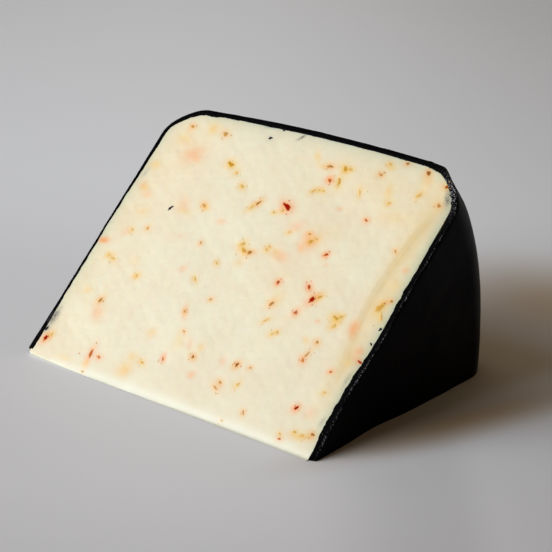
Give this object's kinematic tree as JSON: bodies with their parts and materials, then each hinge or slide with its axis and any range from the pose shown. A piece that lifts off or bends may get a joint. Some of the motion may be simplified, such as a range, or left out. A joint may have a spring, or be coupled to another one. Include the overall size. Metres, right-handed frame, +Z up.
{
  "type": "cheese wedge",
  "caption": "Wedge cut from a low wheel of pale cheese with chilli flakes, in a black wax coat over rind and both flat sides, lying on one cut face",
  "frame": {"origin": "under the middle of the wedge's box, on the cut face that it rests on", "axes": "+X along the wheel's axis, from its left flat side to its right one; +Y from the thin edge back to the rind; +Z up"},
  "size_m": [0.091, 0.084, 0.0569],
  "materials": {
    "cheese": "smooth wire-cut cheese, slightly waxy",
    "black_wax": "hand-dipped black wax, soft sheen"
  },
  "bodies": {
    "root": {"cheese": "cheese", "wax_coat": "black_wax"}
  },
  "joints": []
}
